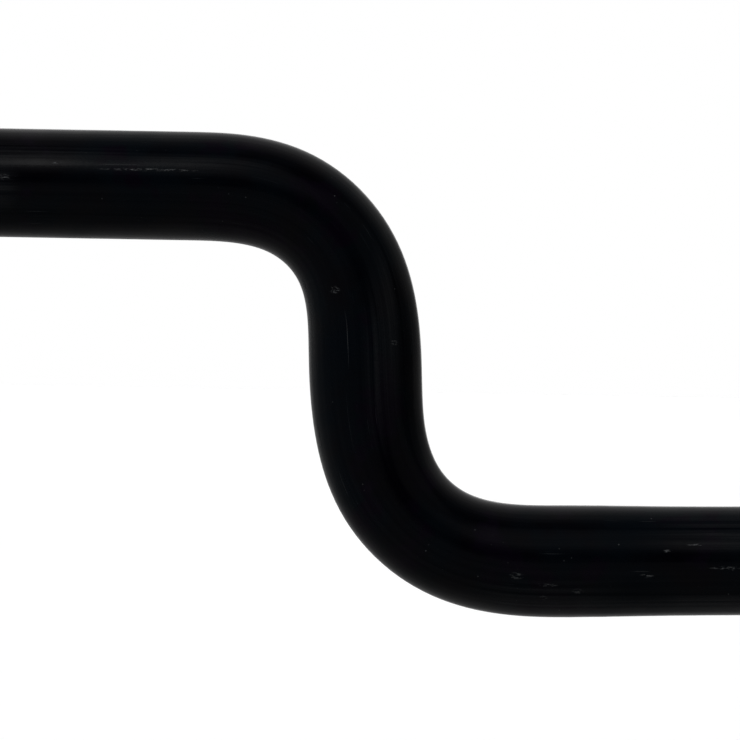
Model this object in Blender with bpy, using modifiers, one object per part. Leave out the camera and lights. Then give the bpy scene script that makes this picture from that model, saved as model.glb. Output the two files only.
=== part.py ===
"""Sway bar assembly: a bent round bar in split bushings under saddle brackets, with lock collars and
ball-stud end links. Metres, +Z up, X along the bar, arms towards +Y. The vehicle frame is at z = 0."""

import math

import bmesh
import bpy
from mathutils import Vector

# Bar
BAR_R = 0.0127
AXIS_Z = -0.024
DROP = 0.0877
LEG_TOP_X = 0.2521
LEG_LOW_X = 0.2479
RUN_TILT = math.radians(1.16)
TOP_BEND_R = 0.0297
TOP_BEND_EASE = 0.0238
LOW_BEND_R = 0.0311
LOW_BEND_EASE = 0.0305
ARM_X = 0.455
ARM_BEND_R = 0.050
EYE_X = 0.480
EYE_Y = 0.262
ARM_KINK_Y = 0.190
PAD_HALF_T = 0.005
PAD_HALF_W = 0.018
PAD_SOFT = 0.35
EYE_HOLE_R = 0.0055
BAR_SIDES = 20

# Bushing and bracket
BUSH_X = 0.386
BUSH_HALF_L = 0.018
BUSH_R = 0.021
BUSH_LIP_R = 0.0236
BUSH_BORE_R = 0.0130
SLIT_T = 0.0008
STRAP_HALF_W = 0.015
STRAP_T = 0.003
STRAP_GAP = 0.0003
FOOT_BEND_R = 0.0045
FOOT_END_Y = 0.053
HOLE_Y = 0.0385
HOLE_R = 0.0056

# Flange bolts
BOLT_R = 0.005
BOLT_ABOVE = 0.024
HEX_R = 0.00866
HEAD_H = 0.0075
FLANGE_R = 0.0105
FLANGE_T = 0.0022

# Lock collars
COLLAR_X = 0.3595
COLLAR_HALF_W = 0.006
COLLAR_R = 0.022
COLLAR_BORE_R = 0.0129
COLLAR_SPLIT = 0.0006
CLAMP_Y = 0.0174
CLAMP_R = 0.0025
CLAMP_HEAD_R = 0.00425
CLAMP_HEAD_H = 0.005
CLAMP_SEAT = 0.008

# Ball joints: u runs from the ball's centre along the stud
BALL_OUT = 0.027
LINK_L = 0.110
BALL_R = 0.008
NECK_R = 0.0042
SEAT_R = 0.0083
HOUSING_R = 0.0135
ROD_R = 0.006
ROD_NECK_R = 0.0080
ROD_OUT = 0.004
COLLAR_U = 0.0217
STUD_R = 0.005
TAB_T = 0.008

GAP = 0.0003
MERGE = 0.00001


def clear_scene():
    for old in list(bpy.data.objects):
        bpy.data.objects.remove(old, do_unlink=True)


def make_collection(name):
    coll = bpy.data.collections.new(name)
    bpy.context.scene.collection.children.link(coll)
    return coll


def make_material(name, colour, metallic, roughness):
    mat = bpy.data.materials.new(name)
    mat.use_nodes = True
    shader = mat.node_tree.nodes["Principled BSDF"]
    shader.inputs["Base Color"].default_value = (*colour, 1.0)
    shader.inputs["Metallic"].default_value = metallic
    shader.inputs["Roughness"].default_value = roughness
    return mat


clear_scene()
PARTS = make_collection("sway_bar_assembly")
CUTTERS = make_collection("cutters")
PAINT = make_material("black_paint", (0.006, 0.006, 0.008), 0.0, 0.15)
RUBBER = make_material("bushing_rubber", (0.02, 0.02, 0.022), 0.0, 0.6)
ZINC = make_material("zinc_steel", (0.62, 0.62, 0.60), 1.0, 0.35)
BOLT = make_material("bolt_steel", (0.50, 0.50, 0.50), 1.0, 0.3)
ALLOY = make_material("collar_alloy", (0.70, 0.71, 0.73), 1.0, 0.3)
LINK = make_material("link_black_steel", (0.03, 0.03, 0.032), 0.6, 0.4)
LINER = make_material("seat_plastic", (0.85, 0.84, 0.80), 0.0, 0.4)


def link_object(name, mesh, mat, coll, loc=(0.0, 0.0, 0.0), rot=(0.0, 0.0, 0.0)):
    obj = bpy.data.objects.new(name, mesh)
    obj.location = loc
    obj.rotation_euler = rot
    if mat is not None:
        mesh.materials.append(mat)
    coll.objects.link(obj)
    if coll is CUTTERS:
        obj.hide_render = True
        obj.display_type = "WIRE"
    return obj


def smooth(mesh):
    for poly in mesh.polygons:
        poly.use_smooth = True


def mesh_from(bm, name):
    bmesh.ops.recalc_face_normals(bm, faces=bm.faces)
    mesh = bpy.data.meshes.new(name)
    bm.to_mesh(mesh)
    bm.free()
    return mesh


def revolve(name, profile, sides, mat, coll, loc, rot=(0.0, 0.0, 0.0), closed=False):
    """Turn a profile of (radius, height) points, outer side top to bottom, about local Z."""
    mesh = bpy.data.meshes.new(name)
    verts = [(r, 0.0, h) for r, h in profile]
    edges = [(i, i + 1) for i in range(len(verts) - 1)]
    if closed:
        edges.append((len(verts) - 1, 0))
    mesh.from_pydata(verts, edges, [])
    obj = link_object(name, mesh, mat, coll, loc, rot)
    turn = obj.modifiers.new("turn", "SCREW")
    turn.angle = math.tau
    turn.steps = sides
    turn.render_steps = sides
    turn.use_merge_vertices = True
    turn.merge_threshold = MERGE
    turn.use_smooth_shade = True
    return obj


def prism(name, outline, half, mat, coll, loc=(0.0, 0.0, 0.0), rot=(0.0, 0.0, 0.0)):
    """A closed (y, z) outline carried along X from -half to +half."""
    bm = bmesh.new()
    face = bm.faces.new([bm.verts.new((-half, y, z)) for y, z in outline])
    moved = bmesh.ops.extrude_face_region(bm, geom=[face])
    verts = [g for g in moved["geom"] if isinstance(g, bmesh.types.BMVert)]
    bmesh.ops.translate(bm, verts=verts, vec=(2.0 * half, 0.0, 0.0))
    return link_object(name, mesh_from(bm, name), mat, coll, loc, rot)


def cylinder(name, radius, depth, sides, mat, coll, loc, rot=(0.0, 0.0, 0.0)):
    bm = bmesh.new()
    bmesh.ops.create_cone(bm, cap_ends=True, segments=sides, radius1=radius, radius2=radius, depth=depth)
    return link_object(name, mesh_from(bm, name), mat, coll, loc, rot)


def box(name, size, coll, loc):
    bm = bmesh.new()
    bmesh.ops.create_cube(bm, size=1.0)
    bmesh.ops.scale(bm, verts=bm.verts, vec=size)
    return link_object(name, mesh_from(bm, name), None, coll, loc)


def boolean(obj, other, operation):
    mod = obj.modifiers.new(operation.lower(), "BOOLEAN")
    mod.operation = operation
    mod.solver = "EXACT"
    mod.object = other


def eased_bend(before, corner, after, radius, ease, count):
    """Points and directions round a corner whose curvature rises and falls over the ease length."""
    d0 = (corner - before).normalized()
    d1 = (after - corner).normalized()
    angle = d0.angle(d1)
    side = (d1 - d0 * d0.dot(d1)).normalized()
    total = radius * angle + ease
    fine = 40 * count
    step = total / fine
    along = 0.0
    across = 0.0
    heading = 0.0
    track = [(0.0, 0.0, 0.0)]
    for i in range(fine):
        s = (i + 0.5) * step
        ramp = min(1.0, s / ease, (total - s) / ease)
        turn = step * ramp / radius
        mid = heading + turn / 2.0
        along += step * math.cos(mid)
        across += step * math.sin(mid)
        heading += turn
        track.append((along, across, heading))
    tail = across / math.sin(heading)
    start = corner - d0 * (along - tail * math.cos(heading))
    out = []
    for i in range(count + 1):
        a, c, h = track[40 * i]
        out.append((start + d0 * a + side * c, d0 * math.cos(h) + side * math.sin(h)))
    return out


def half_centreline():
    """Bar centreline from its middle to the right-hand eye: (point, direction) pairs."""
    low_z = AXIS_Z - DROP
    middle = Vector((0.0, 0.0, low_z + LEG_LOW_X * math.tan(RUN_TILT)))
    leg_low = Vector((LEG_LOW_X, 0.0, low_z))
    leg_top = Vector((LEG_TOP_X, 0.0, AXIS_Z))
    arm = Vector((ARM_X, 0.0, AXIS_Z))
    kink = Vector((EYE_X, ARM_KINK_Y, AXIS_Z))
    eye = Vector((EYE_X, EYE_Y, AXIS_Z))
    mirror = Vector((-LEG_LOW_X, 0.0, low_z))
    crown = eased_bend(mirror, middle, leg_low, 0.9, 0.01, 2)
    path = crown[1:]
    path += eased_bend(middle, leg_low, leg_top, LOW_BEND_R, LOW_BEND_EASE, 10)
    path += eased_bend(leg_low, leg_top, arm, TOP_BEND_R, TOP_BEND_EASE, 9)
    path += eased_bend(leg_top, arm, kink, ARM_BEND_R, 0.008, 7)
    path += eased_bend(arm, kink, eye, 0.06, 0.003, 2)
    return path


def round_square(angle):
    """A point on a unit square with soft corners, in the direction of the angle."""
    c = math.cos(angle)
    s = math.sin(angle)
    big = max(abs(c), abs(s))
    if min(abs(c), abs(s)) / big <= 1.0 - PAD_SOFT:
        return c / big, s / big
    m = 1.0 - PAD_SOFT
    dot = m * (abs(c) + abs(s))
    reach = dot + math.sqrt(dot * dot - (2.0 * m * m - PAD_SOFT * PAD_SOFT))
    return c * reach, s * reach


def ring_offsets(flat, half_t, half_w):
    """Section offsets (across, up): round when flat is 0, a soft-cornered slab when flat is 1."""
    out = []
    for k in range(BAR_SIDES):
        a = math.tau * (k + 0.5) / BAR_SIDES
        px, py = round_square(a)
        ax = (1.0 - flat) * BAR_R * math.cos(a) + flat * half_t * px
        up = (1.0 - flat) * BAR_R * math.sin(a) + flat * half_w * py
        out.append((ax, up))
    return out


def bar_sections():
    """Every section of the right half: centre, direction, flatness, half thickness, half width."""
    out = []
    for point, way in half_centreline():
        out.append((point, way, 0.0, PAD_HALF_T, PAD_HALF_W))
    ahead = Vector((0.0, 1.0, 0.0))
    for back, flat in ((0.052, 0.0), (0.043, 0.16), (0.034, 0.5), (0.026, 0.84), (0.018, 1.0)):
        point = Vector((EYE_X, EYE_Y - back, AXIS_Z))
        out.append((point, ahead, flat, PAD_HALF_T, PAD_HALF_W))
    for deg in (0, 26, 50, 70, 83):
        a = math.radians(deg)
        point = Vector((EYE_X, EYE_Y + PAD_HALF_W * math.sin(a), AXIS_Z))
        out.append((point, ahead, 1.0, PAD_HALF_T, PAD_HALF_W * math.cos(a)))
    return out


def build_bar():
    rings = []
    up = Vector((0.0, 0.0, 1.0))
    last = None
    for point, way, flat, half_t, half_w in bar_sections():
        if last is not None:
            up = last.rotation_difference(way) @ up
        last = way
        across = way.cross(up).normalized()
        rings.append([point + across * a + up * b for a, b in ring_offsets(flat, half_t, half_w)])
    bm = bmesh.new()
    right = [[bm.verts.new(p - Vector((0.0, 0.0, AXIS_Z))) for p in ring] for ring in rings]
    left = []
    for ring in rings[1:]:
        mirrored = [Vector((-p.x, p.y, p.z - AXIS_Z)) for p in ring]
        left.append([bm.verts.new(p) for p in mirrored])
    chain = list(reversed(left)) + right
    for a, b in zip(chain[:-1], chain[1:]):
        for k in range(BAR_SIDES):
            j = (k + 1) % BAR_SIDES
            bm.faces.new((a[k], a[j], b[j], b[k]))
    bm.faces.new(chain[0])
    bm.faces.new(chain[-1])
    mesh = mesh_from(bm, "sway_bar")
    smooth(mesh)
    bar = link_object("sway_bar", mesh, PAINT, PARTS, (0.0, 0.0, AXIS_Z))
    for side in (-1, 1):
        drill = cylinder(f"cut_eye_{side + 1}", EYE_HOLE_R, 0.03, 24, None, CUTTERS,
                         (side * EYE_X, EYE_Y, AXIS_Z), (0.0, math.pi / 2, 0.0))
        boolean(bar, drill, "DIFFERENCE")


def d_outline(radius, steps):
    """D section: flat against the frame, straight sides, round underneath."""
    pts = [(radius, 0.0)]
    for i in range(steps + 1):
        a = -math.pi * i / steps
        pts.append((radius * math.cos(a), AXIS_Z + radius * math.sin(a)))
    pts.append((-radius, 0.0))
    return pts


def build_bushing(tag, x):
    stations = ((-BUSH_HALF_L, BUSH_LIP_R), (-0.0156, BUSH_LIP_R), (-0.0154, BUSH_R),
                (0.0154, BUSH_R), (0.0156, BUSH_LIP_R), (BUSH_HALF_L, BUSH_LIP_R))
    bm = bmesh.new()
    rings = []
    for dx, radius in stations:
        rings.append([bm.verts.new((dx, y, z)) for y, z in d_outline(radius, 16)])
    count = len(rings[0])
    for a, b in zip(rings[:-1], rings[1:]):
        for k in range(count):
            j = (k + 1) % count
            bm.faces.new((a[k], a[j], b[j], b[k]))
    bm.faces.new(rings[0])
    bm.faces.new(rings[-1])
    bush = link_object(f"bushing_{tag}", mesh_from(bm, f"bushing_{tag}"), RUBBER, PARTS, (x, 0.0, 0.0))
    bore = cylinder(f"cut_bush_bore_{tag}", BUSH_BORE_R, 0.06, 24, None, CUTTERS,
                    (x, 0.0, AXIS_Z), (0.0, math.pi / 2, 0.0))
    slit = box(f"cut_bush_slit_{tag}", (0.06, 0.02, SLIT_T), CUTTERS, (x, 0.022, AXIS_Z))
    boolean(bush, bore, "DIFFERENCE")
    boolean(bush, slit, "DIFFERENCE")


def strap_outline():
    """Saddle strap section: two feet, two sides and a half-round belly."""
    inner = BUSH_R + STRAP_GAP
    outer = inner + STRAP_T
    bend_y = inner + STRAP_T / 2 + FOOT_BEND_R
    bend_z = -STRAP_T / 2 - FOOT_BEND_R
    tight = FOOT_BEND_R - STRAP_T / 2
    wide = FOOT_BEND_R + STRAP_T / 2
    top = [(FOOT_END_Y, 0.0)]
    for i in range(5):
        a = math.pi / 2 + math.pi / 2 * i / 4
        top.append((bend_y + wide * math.cos(a), bend_z + wide * math.sin(a)))
    for i in range(17):
        a = -math.pi * i / 16
        top.append((inner * math.cos(a), AXIS_Z + inner * math.sin(a)))
    for i in range(5):
        a = math.pi / 2 * i / 4
        top.append((-bend_y + wide * math.cos(a), bend_z + wide * math.sin(a)))
    top.append((-FOOT_END_Y, 0.0))
    low = [(-FOOT_END_Y, -STRAP_T)]
    for i in range(4):
        a = math.pi / 2 - math.pi / 2 * i / 3
        low.append((-bend_y + tight * math.cos(a), bend_z + tight * math.sin(a)))
    for i in range(17):
        a = math.pi + math.pi * i / 16
        low.append((outer * math.cos(a), AXIS_Z + outer * math.sin(a)))
    for i in range(4):
        a = math.pi - math.pi / 2 * i / 3
        low.append((bend_y + tight * math.cos(a), bend_z + tight * math.sin(a)))
    low.append((FOOT_END_Y, -STRAP_T))
    return top + low


def round_feet(bm):
    picked = []
    for edge in bm.edges:
        a, b = edge.verts
        if abs(a.co.x - b.co.x) < MERGE and abs(a.co.y - b.co.y) < MERGE and abs(a.co.y) > FOOT_END_Y - MERGE:
            picked.append(edge)
    bmesh.ops.bevel(bm, geom=picked, offset=0.006, offset_type="OFFSET", segments=3, profile=0.5,
                    affect="EDGES", clamp_overlap=True)


def build_bracket(tag, x):
    bracket = prism(f"bracket_{tag}", strap_outline(), STRAP_HALF_W, ZINC, PARTS, (x, 0.0, 0.0))
    bm = bmesh.new()
    bm.from_mesh(bracket.data)
    round_feet(bm)
    bmesh.ops.recalc_face_normals(bm, faces=bm.faces)
    bm.to_mesh(bracket.data)
    bm.free()
    for side in (-1, 1):
        drill = cylinder(f"cut_foot_{tag}_{side + 1}", HOLE_R, 0.02, 16, None, CUTTERS,
                         (x, side * HOLE_Y, 0.0))
        boolean(bracket, drill, "DIFFERENCE")


def hex_prism(name, low, high, coll, loc, rot=(0.0, 0.0, 0.0)):
    bm = bmesh.new()
    bmesh.ops.create_cone(bm, cap_ends=True, segments=6, radius1=HEX_R, radius2=HEX_R, depth=high - low)
    bmesh.ops.translate(bm, verts=bm.verts, vec=(0.0, 0.0, (high + low) / 2))
    return link_object(name, mesh_from(bm, name), None, coll, loc, rot)


def build_bolt(tag, x, y):
    seat = -STRAP_T - GAP
    profile = [(0.0, BOLT_ABOVE), (BOLT_R - 0.001, BOLT_ABOVE), (BOLT_R, BOLT_ABOVE - 0.001),
               (BOLT_R, seat), (FLANGE_R, seat), (FLANGE_R, seat - 0.0008),
               (HEX_R, seat - FLANGE_T), (0.0, seat - FLANGE_T)]
    bolt = revolve(f"bolt_{tag}", profile, 16, BOLT, PARTS, (x, y, 0.0))
    head = hex_prism(f"cut_head_{tag}", seat - FLANGE_T - HEAD_H, seat - 0.001, CUTTERS, (x, y, 0.0))
    boolean(bolt, head, "UNION")


def collar_disc(name, mat, coll, x):
    ch = 0.0008
    profile = [(COLLAR_BORE_R, COLLAR_HALF_W), (COLLAR_R - ch, COLLAR_HALF_W),
               (COLLAR_R, COLLAR_HALF_W - ch), (COLLAR_R, -COLLAR_HALF_W + ch),
               (COLLAR_R - ch, -COLLAR_HALF_W), (COLLAR_BORE_R, -COLLAR_HALF_W)]
    return revolve(name, profile, 28, mat, coll, (x, 0.0, AXIS_Z), (0.0, math.pi / 2, 0.0), True)


def build_collar(tag, x):
    for half, up in (("upper", 1), ("lower", -1)):
        ring = collar_disc(f"collar_{half}_{tag}", ALLOY, PARTS, x)
        away = box(f"cut_collar_{half}_{tag}", (0.05, 0.06, 0.06), CUTTERS,
                   (x, 0.0, AXIS_Z + up * (COLLAR_SPLIT / 2 - 0.03)))
        boolean(ring, away, "DIFFERENCE")
        for side in (-1, 1):
            y = side * CLAMP_Y
            key = f"{half}_{tag}_{side + 1}"
            if up < 0:
                hole = cylinder(f"cut_clamp_{key}", CLAMP_R + GAP, 0.04, 16, None, CUTTERS,
                                (x, y, AXIS_Z - 0.01))
                seat = cylinder(f"cut_seat_{key}", CLAMP_HEAD_R + GAP, 0.02, 16, None, CUTTERS,
                                (x, y, AXIS_Z - CLAMP_SEAT - 0.01))
                boolean(ring, hole, "DIFFERENCE")
                boolean(ring, seat, "DIFFERENCE")
            else:
                hole = cylinder(f"cut_clamp_{key}", CLAMP_R + GAP, 0.02, 16, None, CUTTERS,
                                (x, y, AXIS_Z))
                boolean(ring, hole, "DIFFERENCE")
    for side, word in ((-1, "front"), (1, "rear")):
        y = side * CLAMP_Y
        top = 0.0092
        seat = -CLAMP_SEAT - GAP
        base = seat - CLAMP_HEAD_H
        profile = [(0.0, top), (CLAMP_R - 0.0005, top), (CLAMP_R, top - 0.0005), (CLAMP_R, seat),
                   (CLAMP_HEAD_R, seat), (CLAMP_HEAD_R, base + 0.0004), (CLAMP_HEAD_R - 0.0004, base),
                   (0.0, base)]
        screw = revolve(f"collar_screw_{word}_{tag}", profile, 12, BOLT, PARTS, (x, y, AXIS_Z))
        key = cylinder(f"cut_key_{word}_{tag}", 0.0023, 0.005, 6, None, CUTTERS, (x, y, AXIS_Z + base))
        boolean(screw, key, "DIFFERENCE")


def inboard(side):
    """Turn that points local Z from a ball's centre along its stud, towards the vehicle's middle."""
    return (0.0, -side * math.pi / 2, 0.0)


def build_stud(name, loc, side, end_u):
    profile = [(0.0, end_u), (STUD_R - 0.0008, end_u), (STUD_R, end_u - 0.0008), (STUD_R, COLLAR_U),
               (0.010, COLLAR_U), (0.010, COLLAR_U - 0.0032), (0.0092, COLLAR_U - 0.0041),
               (0.006, COLLAR_U - 0.0041), (0.006, 0.0138), (NECK_R, 0.0120)]
    first = math.asin(NECK_R / BALL_R)
    for i in range(7):
        a = first + (math.pi - first) * i / 6
        profile.append((max(BALL_R * math.sin(a), 0.0), BALL_R * math.cos(a)))
    profile[-1] = (0.0, -BALL_R)
    revolve(name, profile, 16, BOLT, PARTS, loc, inboard(side))


def build_nut(name, loc, side, low_u):
    bore = STUD_R + GAP
    profile = [(bore, low_u + FLANGE_T), (HEX_R, low_u + FLANGE_T), (FLANGE_R, low_u + 0.0008),
               (FLANGE_R, low_u), (bore, low_u)]
    nut = revolve(name, profile, 16, BOLT, PARTS, loc, inboard(side), True)
    head = hex_prism(f"cut_{name}_hex", low_u + 0.001, low_u + 0.0095, CUTTERS, loc, inboard(side))
    drill = cylinder(f"cut_{name}_bore", bore, 0.12, 16, None, CUTTERS, loc, inboard(side))
    boolean(nut, head, "UNION")
    boolean(nut, drill, "DIFFERENCE")


def build_seat(name, loc, side):
    profile = [(0.0085, 0.0051), (0.0102, 0.0031), (0.0102, -0.0092), (0.0022, -0.0092)]
    first = math.pi - math.asin(0.0022 / SEAT_R)
    last = math.acos(0.0051 / SEAT_R)
    for i in range(7):
        a = first + (last - first) * i / 6
        profile.append((SEAT_R * math.sin(a), SEAT_R * math.cos(a)))
    revolve(name, profile, 14, LINER, PARTS, loc, inboard(side), True)


def build_cap(name, loc, side):
    profile = [(0.0, -0.0095), (0.0102, -0.0095), (0.0102, -0.0109), (0.0070, -0.0109),
               (0.0062, -0.0104), (0.0, -0.0104)]
    revolve(name, profile, 16, ZINC, PARTS, loc, inboard(side))


BOOT_OUT = ((0.0076, 0.0173), (0.0076, 0.0143), (0.0102, 0.0136), (0.0130, 0.0122), (0.0143, 0.0106),
            (0.0138, 0.0092), (0.0127, 0.0083), (0.0127, 0.0057))
BOOT_IN = ((0.0112, 0.0057), (0.0112, 0.0083), (0.0121, 0.0093), (0.0129, 0.0105), (0.0119, 0.0113),
           (0.0095, 0.0125), (0.00635, 0.0137), (0.00635, 0.0173))


def build_boot(name, loc, side):
    revolve(name, list(BOOT_OUT) + list(BOOT_IN), 14, RUBBER, PARTS, loc, inboard(side), True)


def build_ring(name, loc, side, radius, wire, u):
    pts = []
    for i in range(5):
        a = -math.tau * i / 5
        pts.append((radius + wire * math.cos(a), u + wire * math.sin(a)))
    revolve(name, pts, 14, BOLT, PARTS, loc, inboard(side), True)


def housing_shell():
    return [(0.0, 0.0101), (0.0109, 0.0101), (0.0115, 0.0096), (0.0115, 0.0089), (0.0109, 0.0086),
            (0.0109, 0.0054), (0.0124, 0.0050), (HOUSING_R, 0.0042), (HOUSING_R, -0.0112),
            (0.0128, -0.0121), (0.0, -0.0121)]


def housing_bore():
    return [(0.0, 0.014), (0.0100, 0.014), (0.0094, 0.0101), (0.0088, 0.0056), (0.0105, 0.0034),
            (0.0105, -0.0110), (0.0096, -0.0113), (0.0096, -0.016), (0.0, -0.016)]


def build_link(tag, side, ball):
    length = LINK_L
    thick = ROD_NECK_R
    rod_profile = [(0.0, 0.0), (thick, 0.0), (thick, -0.0120), (0.0072, -0.0185), (ROD_R, -0.0260),
                   (ROD_R, -length + 0.0260), (0.0072, -length + 0.0185), (thick, -length + 0.0120),
                   (thick, -length), (0.0, -length)]
    low = ball - Vector((0.0, 0.0, length))
    rod_at = ball + Vector((side * ROD_OUT, 0.0, 0.0))
    link = revolve(f"end_link_{tag}", housing_shell(), 20, LINK, PARTS, ball, inboard(side))
    rod = revolve(f"cut_rod_{tag}", rod_profile, 14, None, CUTTERS, rod_at)
    shell = revolve(f"cut_shell_{tag}", housing_shell(), 20, None, CUTTERS, low, inboard(side))
    boolean(link, rod, "UNION")
    boolean(link, shell, "UNION")
    for word, loc in (("top", ball), ("low", low)):
        bore = revolve(f"cut_bore_{word}_{tag}", housing_bore(), 20, None, CUTTERS, loc, inboard(side))
        boolean(link, bore, "DIFFERENCE")


def build_end_link(tag, side):
    top = Vector((side * (EYE_X + BALL_OUT), EYE_Y, AXIS_Z))
    low = top - Vector((0.0, 0.0, LINK_L))
    eye_far = BALL_OUT + PAD_HALF_T
    build_link(tag, side, top)
    build_stud(f"ball_stud_upper_{tag}", top, side, 0.0465)
    build_nut(f"flange_nut_upper_{tag}", top, side, eye_far + GAP)
    build_stud(f"ball_stud_lower_{tag}", low, side, 0.0445)
    build_nut(f"flange_nut_lower_{tag}", low, side, COLLAR_U + TAB_T)
    for word, loc in (("upper", top), ("lower", low)):
        build_seat(f"ball_seat_{word}_{tag}", loc, side)
        build_cap(f"cover_cap_{word}_{tag}", loc, side)
        build_boot(f"dust_boot_{word}_{tag}", loc, side)
        build_ring(f"boot_ring_large_{word}_{tag}", loc, side, 0.0136, 0.0006, 0.0070)
        build_ring(f"boot_ring_small_{word}_{tag}", loc, side, 0.0085, 0.0006, 0.0158)


build_bar()
for tag, side in (("left", -1), ("right", 1)):
    build_bushing(tag, side * BUSH_X)
    build_bracket(tag, side * BUSH_X)
    build_bolt(f"front_{tag}", side * BUSH_X, -HOLE_Y)
    build_bolt(f"rear_{tag}", side * BUSH_X, HOLE_Y)
    build_collar(tag, side * COLLAR_X)
    build_end_link(tag, side)
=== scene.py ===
import math

import bmesh
import bpy
from mathutils import Matrix, Vector


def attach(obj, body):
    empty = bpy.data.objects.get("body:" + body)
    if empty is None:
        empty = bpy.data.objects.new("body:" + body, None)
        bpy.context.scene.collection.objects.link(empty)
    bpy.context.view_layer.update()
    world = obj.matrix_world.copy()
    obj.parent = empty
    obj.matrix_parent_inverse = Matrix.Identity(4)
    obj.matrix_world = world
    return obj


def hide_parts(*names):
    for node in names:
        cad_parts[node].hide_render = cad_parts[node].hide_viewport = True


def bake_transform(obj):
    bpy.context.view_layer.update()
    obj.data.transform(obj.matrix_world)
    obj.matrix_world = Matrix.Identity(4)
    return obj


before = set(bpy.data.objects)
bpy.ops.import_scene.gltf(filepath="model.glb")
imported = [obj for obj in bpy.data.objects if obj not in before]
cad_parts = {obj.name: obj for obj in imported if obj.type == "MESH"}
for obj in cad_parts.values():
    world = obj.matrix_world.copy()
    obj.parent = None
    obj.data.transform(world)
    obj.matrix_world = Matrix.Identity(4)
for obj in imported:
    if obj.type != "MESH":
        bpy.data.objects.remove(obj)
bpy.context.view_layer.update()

# Driving sizes of the CAD (metres)
BAR_R = 0.0127
AXIS_Z = -0.024
DROP = 0.0877
LEG_TOP_X = 0.2521
LEG_LOW_X = 0.2479
RUN_TILT = math.radians(1.16)
TOP_BEND = (0.0297, 0.0238)
LOW_BEND = (0.0311, 0.0305)
ARM_X = 0.455
ARM_BEND = (0.050, 0.008)
KINK_BEND = (0.06, 0.003)
MIDDLE_BEND = (0.9, 0.01)
EYE_X = 0.480
EYE_Y = 0.262
ARM_KINK_Y = 0.190
PAD_HALF_T = 0.005
PAD_HALF_W = 0.018
PAD_SOFT = 0.35
EYE_HOLE_R = 0.0055
BUSH_X = 0.386
BUSH_HALF_L = 0.018
BUSH_R = 0.021
BUSH_LIP_R = 0.0236
BUSH_BORE_R = 0.0130
SLIT_T = 0.0008
STRAP_HALF_W = 0.015
STRAP_T = 0.003
STRAP_GAP = 0.0003
FOOT_BEND_R = 0.0045
FOOT_END_Y = 0.053
HOLE_Y = 0.0385
HOLE_R = 0.0056
BOLT_R = 0.005
BOLT_ABOVE = 0.024
HEX_R = 0.00866
HEAD_H = 0.0075
FLANGE_R = 0.0105
FLANGE_T = 0.0022
COLLAR_X = 0.3595
COLLAR_HALF_W = 0.006
COLLAR_R = 0.022
COLLAR_BORE_R = 0.0129
COLLAR_SPLIT = 0.0006
CLAMP_Y = 0.0174
CLAMP_R = 0.0025
CLAMP_HEAD_R = 0.00425
CLAMP_HEAD_H = 0.005
CLAMP_SEAT = 0.008
BALL_OUT = 0.027
LINK_L = 0.110
BALL_R = 0.008
NECK_R = 0.0042
HOUSING_R = 0.0135
ROD_R = 0.006
ROD_NECK_R = 0.0080
ROD_OUT = 0.004
COLLAR_U = 0.0217
STUD_R = 0.005
TAB_T = 0.008
UPPER_STUD_END = 0.0465
LOWER_STUD_END = 0.0445
GAP = 0.0003
SIDES = (("left", -1), ("right", 1))

# Finer sizes of the visible pieces (metres)
PAINTED_R = 0.0128
RING_STEP = 0.008
FORGED_FROM = 0.050
FORGED_OVER = 0.032
TIP_REACH = 0.01785
EYE_LEAD = 0.0011
FOOT_CORNER_R = 0.009
M10_PITCH = 0.0015
M10_DEPTH = 0.0008
SOCKET_R = 0.0023
COLLAR_CHAMFER = 0.0009
CLAMP_TIP = 0.0076
CLAMP_PITCH = 0.0008
CLAMP_DEPTH = 0.0004
ROD_TAPER_R = 0.0072
LINK_VOXEL = 0.00055
CLIP_WIRE_R = 0.00048
LARGE_CLIP = (0.0131, 0.0070)
SMALL_CLIP = (0.0078, 0.0158)
PATCH_DEPTH = 1.0 / 120.0


# ---------------------------------------------------------------- materials

def shader_material(name):
    mat = bpy.data.materials.new(name)
    mat.use_nodes = True
    return mat, mat.node_tree, mat.node_tree.nodes["Principled BSDF"]


def add_node(tree, kind, **props):
    node = tree.nodes.new(kind)
    for key, value in props.items():
        setattr(node, key, value)
    return node


def feed(tree, socket, value):
    """Links a socket to another one, or sets it to a number, a vector or a colour."""
    if isinstance(value, bpy.types.NodeSocket):
        tree.links.new(value, socket)
    elif socket.type == "RGBA":
        socket.default_value = (*value, 1.0)
    else:
        socket.default_value = value


def plug(tree, node, **values):
    """Feeds a node's inputs by name; an underscore stands for a space."""
    for key, value in values.items():
        feed(tree, node.inputs[key.replace("_", " ")], value)


def coords(tree, scale=(1.0, 1.0, 1.0), output="Object"):
    where = add_node(tree, "ShaderNodeTexCoord")
    mapping = add_node(tree, "ShaderNodeMapping")
    plug(tree, mapping, Vector=where.outputs[output], Scale=scale)
    return mapping.outputs["Vector"]


def noise(tree, vector, scale, detail=3.0, rough=0.5):
    node = add_node(tree, "ShaderNodeTexNoise")
    plug(tree, node, Vector=vector, Scale=scale, Detail=detail, Roughness=rough)
    return node.outputs["Fac"]


def cells(tree, vector, scale):
    node = add_node(tree, "ShaderNodeTexVoronoi")
    plug(tree, node, Vector=vector, Scale=scale)
    return node.outputs["Distance"]


def remap(tree, value, low, high, to_low=0.0, to_high=1.0, smooth=False):
    node = add_node(tree, "ShaderNodeMapRange")
    if smooth:
        node.interpolation_type = "SMOOTHSTEP"
    plug(tree, node, Value=value, From_Min=low, From_Max=high, To_Min=to_low, To_Max=to_high)
    return node.outputs["Result"]


def operate(tree, kind, operation, a, b, out=0):
    node = add_node(tree, kind, operation=operation)
    feed(tree, node.inputs[0], a)
    if b is not None:
        feed(tree, node.inputs[1], b)
    return node.outputs[out]


def maths(tree, operation, a, b):
    return operate(tree, "ShaderNodeMath", operation, a, b)


def vectors(tree, operation, a, b=None, out=0):
    return operate(tree, "ShaderNodeVectorMath", operation, a, b, out)


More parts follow.
